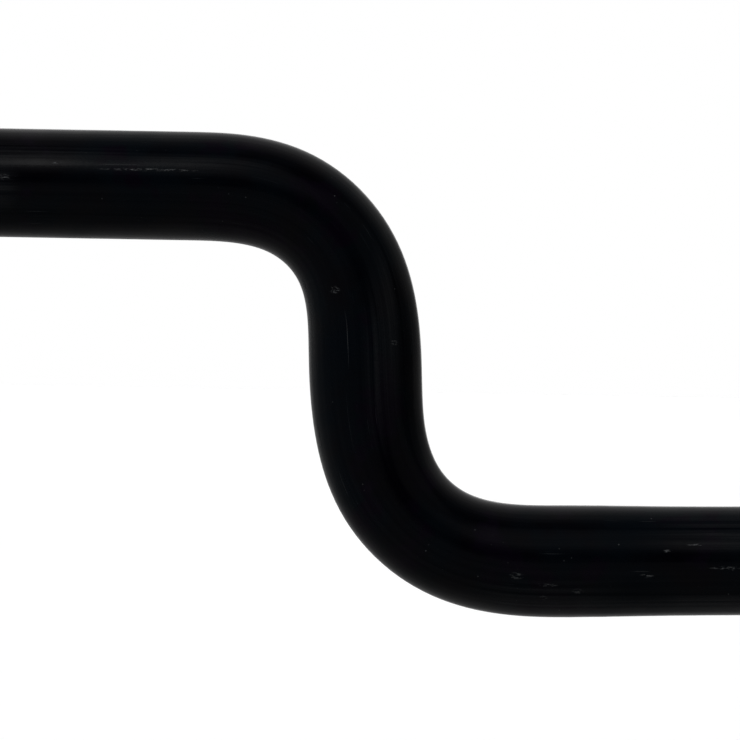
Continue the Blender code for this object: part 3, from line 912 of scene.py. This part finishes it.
def build_collar(tag, x):
    """Lock collar of two half rings, with a clamp screw through each end of the split."""
    ch = COLLAR_CHAMFER
    w = COLLAR_HALF_W
    profile = fillet([(COLLAR_BORE_R, w - 0.0003), (COLLAR_BORE_R + 0.0003, w), (COLLAR_R - ch, w),
                      (COLLAR_R, w - ch), (COLLAR_R, -w + ch), (COLLAR_R - ch, -w),
                      (COLLAR_BORE_R + 0.0003, -w), (COLLAR_BORE_R, -w + 0.0003)], 0.0003, 2, True)
    for half, up in (("upper", 1), ("lower", -1)):
        name = f"collar_fine_{half}_{tag}"
        ring = lathe(name, profile, 128, None, along_x(x, 0.0, AXIS_Z), True)
        steps = [("DIFFERENCE", block(f"part_{half}_{tag}", (0.05, 0.06, 0.06),
                                      (x, 0.0, AXIS_Z + up * (COLLAR_SPLIT / 2 - 0.03))))]
        for side in (-1, 1):
            y = side * CLAMP_Y
            key = f"{half}_{tag}_{side + 1}"
            place = upright(x, y, AXIS_Z)
            if up < 0:
                hole = cylinder(f"clamp_{key}", CLAMP_R + GAP, -0.03, 0.01, 32, place)
                seat = cylinder(f"seat_{key}", CLAMP_HEAD_R + GAP, -0.03, -CLAMP_SEAT, 40, place)
                steps += [("DIFFERENCE", hole), ("DIFFERENCE", seat)]
            else:
                blind = [(0.0, -0.01), (CLAMP_R + GAP, -0.01), (CLAMP_R + GAP, CLAMP_TIP + 0.0002),
                         (0.0, CLAMP_TIP + 0.0017)]
                steps.append(("DIFFERENCE", lathe(f"clamp_{key}", blind, 32, None, place)))
        combine(ring, steps)
        finish_solid(ring, ALLOY, 20.0)
        settle(ring, "bar", "collar_alloy", f"collar_{half}_{tag}")
    for side, word in ((-1, "front"), (1, "rear")):
        top = CLAMP_TIP
        seat = -CLAMP_SEAT - GAP
        base = seat - CLAMP_HEAD_H
        low, high = seat + 0.003, top - 0.0005
        profile = [(0.0, top), (CLAMP_R - 0.0005, top)]
        profile += list(reversed(thread_steps(CLAMP_R, low, high, CLAMP_PITCH)))
        profile += [(CLAMP_R, seat), (CLAMP_HEAD_R - 0.0001, seat), (CLAMP_HEAD_R, seat - 0.0002),
                    (CLAMP_HEAD_R, base + 0.0006), (CLAMP_HEAD_R - 0.0002, base + 0.0002),
                    (CLAMP_HEAD_R - 0.0006, base), (0.0, base)]
        place = upright(x, side * CLAMP_Y, AXIS_Z)
        screw = lathe(f"collar_screw_fine_{word}_{tag}", profile, 40, None, place,
                      thread=(low, high, CLAMP_PITCH, CLAMP_DEPTH))
        socket = cylinder(f"socket_{word}_{tag}", SOCKET_R, base - 0.001, base + 0.0025, 6, place)
        combine(screw, [("DIFFERENCE", socket)])
        finish_solid(screw, FASTENER_ZINC)
        settle(screw, "bar", "fastener_steel", f"collar_screw_{word}_{tag}")


# ---------------------------------------------------------------- end links

def build_link(tag, side, ball):
    """Forged link: two turned housings on a waisted rod, melted together, then bored."""
    low = ball - Vector((0.0, 0.0, LINK_L))
    shell = [(0.0, 0.0101), (0.0109, 0.0101), (0.0115, 0.0096), (0.0115, 0.0089), (0.0109, 0.0086),
             (0.0109, 0.0054), (0.0124, 0.0050), (HOUSING_R, 0.0042), (HOUSING_R, -0.0112),
             (0.0128, -0.0121), (0.0, -0.0121)]
    taper = [(0.0, 0.0), (ROD_NECK_R, 0.0), (ROD_NECK_R, 0.0120), (ROD_TAPER_R, 0.0185), (ROD_R, 0.0260)]
    rod_profile = [(r, -h) for r, h in taper] + [(r, h - LINK_L) for r, h in reversed(taper)]
    name = f"end_link_fine_{tag}"
    link = lathe(name, shell, 96, None, along_x(*ball, -side))
    rod = lathe(f"rod_{tag}", rod_profile, 64, None, upright(ball.x + side * ROD_OUT, ball.y, ball.z))
    foot = lathe(f"shell_{tag}", shell, 96, None, along_x(*low, -side))
    combine(link, [("UNION", rod), ("UNION", foot)])
    melt = link.modifiers.new("melt", "REMESH")
    melt.mode = "VOXEL"
    melt.voxel_size = LINK_VOXEL
    calm = link.modifiers.new("calm", "SMOOTH")
    calm.factor = 0.5
    calm.iterations = 6
    apply_modifiers(link)
    bore = [(0.0, 0.014), (0.0104, 0.014), (0.0094, 0.0099), (0.0088, 0.0056), (0.0105, 0.0034),
            (0.0105, -0.0110), (0.0096, -0.0113), (0.0097, -0.016), (0.0, -0.016)]
    steps = []
    for word, at in (("top", ball), ("low", low)):
        steps.append(("DIFFERENCE", lathe(f"bore_{word}_{tag}", bore, 72, None, along_x(*at, -side))))
    combine(link, steps)
    finish_solid(link, COATING, 45.0)
    settle(link, f"link_{tag}", "link_coating", f"end_link_{tag}")


def build_stud(word, tag, side, at, end_u, body):
    """Ball stud: threaded end with a hex socket, clamping collar, neck and ball."""
    low, high = COLLAR_U + 0.0030, end_u - 0.0008
    profile = [(0.0, end_u), (STUD_R - 0.0009, end_u)]
    profile += list(reversed(thread_steps(STUD_R, low, high, M10_PITCH)))
    profile += [(STUD_R, COLLAR_U + 0.0004), (STUD_R + 0.0004, COLLAR_U), (0.0097, COLLAR_U),
                (0.0100, COLLAR_U - 0.0003), (0.0100, COLLAR_U - 0.0029), (0.0098, COLLAR_U - 0.0034),
                (0.0092, COLLAR_U - 0.0040), (0.0062, COLLAR_U - 0.0041), (0.0060, COLLAR_U - 0.0043),
                (0.0060, 0.0141), (0.0058, 0.0137), (NECK_R + 0.0003, 0.0121), (NECK_R, 0.0117)]
    first = math.asin(NECK_R / BALL_R)
    for i in range(25):
        a = first + (math.pi - first) * i / 24
        profile.append((BALL_R * math.sin(a) if i < 24 else 0.0, BALL_R * math.cos(a)))
    place = along_x(*at, -side)
    stud = lathe(f"ball_stud_fine_{word}_{tag}", profile, 64, None, place,
                 thread=(low, high, M10_PITCH, M10_DEPTH))
    socket = cylinder(f"stud_socket_{word}_{tag}", SOCKET_R, end_u - 0.0035, end_u + 0.002, 6, place)
    cone = [(0.0, end_u - 0.0004), (0.0020, end_u - 0.0004), (0.0032, end_u + 0.0008),
            (0.0, end_u + 0.0008)]
    lead = lathe(f"stud_lead_{word}_{tag}", cone, 36, None, place)
    combine(stud, [("DIFFERENCE", socket), ("DIFFERENCE", lead)])
    finish_solid(stud, FASTENER_ZINC, 35.0)
    settle(stud, body, "fastener_steel", f"ball_stud_{word}_{tag}")


def build_nut(word, tag, side, at, low_u, body):
    """Hex flange nut with its seat at low_u along the stud."""
    bore = STUD_R + GAP
    place = along_x(*at, -side)
    profile = [(bore - 0.001, low_u + FLANGE_T), (HEX_R, low_u + FLANGE_T),
               (FLANGE_R - 0.0003, low_u + 0.0010), (FLANGE_R, low_u + 0.0007),
               (FLANGE_R, low_u + 0.0002), (FLANGE_R - 0.0002, low_u), (bore - 0.001, low_u)]
    nut = lathe(f"flange_nut_fine_{word}_{tag}", profile, 72, None, place, True)
    top = low_u + 0.0095
    head = hex_piece(f"nut_hex_{word}_{tag}", low_u + 0.001, top, place)
    hole = [(0.0, low_u - 0.002), (bore + 0.0026, low_u - 0.002), (bore, low_u + 0.0006),
            (bore, top - 0.0006), (bore + 0.0026, top + 0.002), (0.0, top + 0.002)]
    drill = lathe(f"nut_bore_{word}_{tag}", hole, 48, None, place)
    combine(nut, [("UNION", head), ("DIFFERENCE", drill)])
    finish_solid(nut, FASTENER_ZINC)
    settle(nut, body, "fastener_steel", f"flange_nut_{word}_{tag}")


def build_boot(word, tag, side, at):
    """Soft bellows from the stud's neck to the housing's groove."""
    outer = [(0.0074, 0.0174), (0.0076, 0.0171), (0.0076, 0.0163), (0.0072, 0.0161), (0.0072, 0.0155),
             (0.0076, 0.0153), (0.0077, 0.0145), (0.0086, 0.0140), (0.0104, 0.0138), (0.0118, 0.0133),
             (0.0121, 0.0127), (0.0116, 0.0122), (0.0114, 0.0118), (0.0119, 0.0114), (0.0133, 0.0112),
             (0.0142, 0.0105), (0.0143, 0.0097), (0.0136, 0.0089), (0.0129, 0.0084), (0.0129, 0.0078),
             (0.0125, 0.0076), (0.0125, 0.0064), (0.0129, 0.0062), (0.0129, 0.0057)]
    inner = [(0.0112, 0.0056), (0.0112, 0.0084), (0.0122, 0.0090), (0.0131, 0.0098), (0.0130, 0.0101),
             (0.0118, 0.0104), (0.0105, 0.0110), (0.0102, 0.0118), (0.0107, 0.0126), (0.0100, 0.0129),
             (0.0080, 0.0131), (0.0064, 0.0139), (0.0063, 0.0150), (0.0063, 0.0174)]
    profile = fillet(outer + inner, 0.0009, 4, True)
    boot = lathe(f"dust_boot_fine_{word}_{tag}", profile, 80, BOOT_RUBBER, along_x(*at, -side), True,
                 angle=60.0)
    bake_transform(boot)
    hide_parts(f"dust_boot_{word}_{tag}")


def build_clip(size, word, tag, side, at, radius, u, body):
    """A wire ring of nearly two touching turns, with free ends."""
    wire = CLIP_WIRE_R
    turns = 1.92
    count = 150
    rings = []
    for i in range(count + 1):
        t = i / count
        a = math.tau * turns * t
        centre = Vector((radius * math.cos(a), radius * math.sin(a), u + (t - 0.5) * turns * wire * 2.1))
        out = Vector((math.cos(a), math.sin(a), 0.0))
        ring = []
        for k in range(10):
            b = math.tau * k / 10
            ring.append(centre + out * wire * math.cos(b) + Vector((0.0, 0.0, wire * math.sin(b))))
        rings.append(ring)
    mesh = ring_mesh(f"boot_clip_{size}_{word}_{tag}", rings)
    shade(mesh, 60.0)
    clip = add_object(mesh.name, mesh, FASTENER_ZINC, along_x(*at, -side))
    settle(clip, body, "fastener_steel", f"boot_ring_{size}_{word}_{tag}")


def build_cap(word, tag, side, at):
    """Pressed cover disc with a dished middle, held under the housing's rolled edge."""
    profile = [(0.0, -0.0096), (0.0100, -0.0096), (0.0102, -0.0098), (0.0102, -0.0107), (0.0100, -0.0109),
               (0.0078, -0.0109), (0.0072, -0.0108), (0.0067, -0.0104), (0.0063, -0.0101),
               (0.0056, -0.0100), (0.0024, -0.0100), (0.0019, -0.0101), (0.0012, -0.0104), (0.0, -0.0105)]
    cap = lathe(f"cover_cap_fine_{word}_{tag}", profile, 72, CAP_ZINC, along_x(*at, -side))
    settle(cap, f"link_{tag}", "cap_steel", f"cover_cap_{word}_{tag}")


def build_end_link(tag, side):
    top = Vector((side * (EYE_X + BALL_OUT), EYE_Y, AXIS_Z))
    low = top - Vector((0.0, 0.0, LINK_L))
    build_link(tag, side, top)
    build_stud("upper", tag, side, top, UPPER_STUD_END, "bar")
    build_nut("upper", tag, side, top, BALL_OUT + PAD_HALF_T + GAP, "bar")
    build_stud("lower", tag, side, low, LOWER_STUD_END, f"lower_stud_{tag}")
    build_nut("lower", tag, side, low, COLLAR_U + TAB_T, f"lower_stud_{tag}")
    for word, at in (("upper", top), ("lower", low)):
        boot_body = f"{word}_boot_{tag}"
        build_cap(word, tag, side, at)
        build_boot(word, tag, side, at)
        build_clip("large", word, tag, side, at, *LARGE_CLIP, f"link_{tag}")
        build_clip("small", word, tag, side, at, *SMALL_CLIP, boot_body)


build_bar()
for tag, side in SIDES:
    build_bushing(tag, side * BUSH_X)
    build_bracket(tag, side * BUSH_X)
    build_bolt("front", tag, side * BUSH_X, -HOLE_Y)
    build_bolt("rear", tag, side * BUSH_X, HOLE_Y)
    build_collar(tag, side * COLLAR_X)
    build_end_link(tag, side)

for node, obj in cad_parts.items():
    if node.startswith("ball_seat"):
        for held in obj.material_slots:
            held.material = LINER


# ---------------------------------------------------------------- stage, light and camera

FLOOR_Z = -0.32
FLOOR_TONE = 0.45
FLOOR_CAMERA_LIFT = 0.565
FLOOR_MIRROR_LIFT = 0.03
PLAIN_LEVEL = 0.32
GLOW_WAY = (0.0, -0.707, 0.707)


def build_floor():
    """A pale floor that shows white to the camera and keeps the shadow."""
    bm = bmesh.new()
    bmesh.ops.create_grid(bm, x_segments=1, y_segments=1, size=60.0)
    bmesh.ops.translate(bm, verts=bm.verts, vec=(0.0, 0.0, FLOOR_Z))
    mat, tree, shader = shader_material("floor_white")
    rays = add_node(tree, "ShaderNodeLightPath")
    mirrored = maths(tree, "MAXIMUM", rays.outputs["Is Glossy Ray"], rays.outputs["Is Transmission Ray"])
    lift = maths(tree, "MULTIPLY", mirrored, FLOOR_MIRROR_LIFT)
    lift = mix_value(tree, rays.outputs["Is Camera Ray"], lift, FLOOR_CAMERA_LIFT)
    plug(tree, shader, Base_Color=(FLOOR_TONE,) * 3, Roughness=0.9, Specular_IOR_Level=0.1,
         Emission_Color=(1.0, 1.0, 1.0), Emission_Strength=lift)
    add_object("studio_floor", mesh_from(bm, "studio_floor"), mat)


def build_world():
    """White to the camera, plain light on matt surfaces, and a studio for gloss and metal to reflect:
    a room that brightens towards +Y, a ceiling, a bright panel at +Y and a soft glow high at -Y."""
    world = bpy.data.worlds.new("studio_world")
    world.use_nodes = True
    tree = world.node_tree
    back = tree.nodes["Background"]
    rays = add_node(tree, "ShaderNodeLightPath")
    mirrored = maths(tree, "MAXIMUM", rays.outputs["Is Glossy Ray"], rays.outputs["Is Transmission Ray"])
    way = add_node(tree, "ShaderNodeSeparateXYZ")
    towards = add_node(tree, "ShaderNodeTexCoord").outputs["Generated"]
    plug(tree, way, Vector=towards)
    x, y, z = way.outputs
    room = remap(tree, y, -0.60, 0.75, 0.07, 0.42, True)
    room = maths(tree, "MULTIPLY", room, remap(tree, x, -0.5, 0.5, 1.0, 0.6, True))
    ceiling = maths(tree, "MULTIPLY", remap(tree, z, 0.10, 0.55, 0.0, 0.34, True),
                    remap(tree, y, -0.30, 0.40, 0.0, 1.0, True))
    panel = remap(tree, y, 0.91, 0.975, 0.0, 0.66, True)
    aim = vectors(tree, "DOT_PRODUCT", towards, GLOW_WAY, "Value")
    glow = remap(tree, aim, 0.88, 0.985, 0.0, 0.75, True)
    level = maths(tree, "ADD", maths(tree, "ADD", room, ceiling), maths(tree, "ADD", panel, glow))
    strength = mix_value(tree, mirrored, PLAIN_LEVEL, level)
    strength = mix_value(tree, rays.outputs["Is Camera Ray"], strength, 1.0)
    plug(tree, back, Color=(1.0, 1.0, 1.0), Strength=strength)
    bpy.context.scene.world = world


def sun(name, towards, angle, strength):
    """A large soft far lamp. towards points from the object to the lamp."""
    data = bpy.data.lights.new(name, "SUN")
    data.angle = math.radians(angle)
    data.energy = strength
    lamp = into_scene(name, data)
    lamp.rotation_euler = Vector(towards).to_track_quat("Z", "Y").to_euler()


def strip(name, place, target, width, height, power):
    """A rectangular lamp near the object, not seen by the camera."""
    data = bpy.data.lights.new(name, "AREA")
    data.shape = "RECTANGLE"
    data.size = width
    data.size_y = height
    data.energy = power
    lamp = into_scene(name, data)
    lamp.location = place
    lamp.rotation_euler = (Vector(target) - Vector(place)).to_track_quat("-Z", "Y").to_euler()
    lamp.visible_camera = False


VIEW_CENTRE = Vector((-0.2490, 0.0, -0.06656))
VIEW_WIDTH = 0.1743
VIEW_DISTANCE = 1.2
VIEW_ROLL = math.radians(1.03)


def build_camera():
    data = bpy.data.cameras.new("main_camera")
    data.sensor_width = 36.0
    data.lens = 36.0 * VIEW_DISTANCE / VIEW_WIDTH
    data.clip_start = 0.05
    data.clip_end = 200.0
    camera = into_scene("main_camera", data)
    camera.location = VIEW_CENTRE - Vector((0.0, VIEW_DISTANCE, 0.0))
    aim = Vector((0.0, 1.0, 0.0)).to_track_quat("-Z", "Y").to_matrix().to_4x4()
    roll = Matrix.Rotation(VIEW_ROLL, 4, "Z")
    camera.rotation_euler = (aim @ roll).to_euler()
    bpy.context.scene.camera = camera


build_floor()
build_world()
sun("key_lamp", (-0.54, -0.45, 0.71), 11.0, 2.3)
sun("rear_lamp", (-0.45, 0.72, 0.53), 30.0, 0.6)
sun("fill_lamp", (0.72, -0.56, 0.42), 50.0, 0.20)
strip("top_strip", (-0.475, -0.366, 0.317), (-0.475, 0.0, -0.024), 0.30, 0.12, 0.42)
build_camera()
bpy.context.scene.view_settings.view_transform = "Standard"
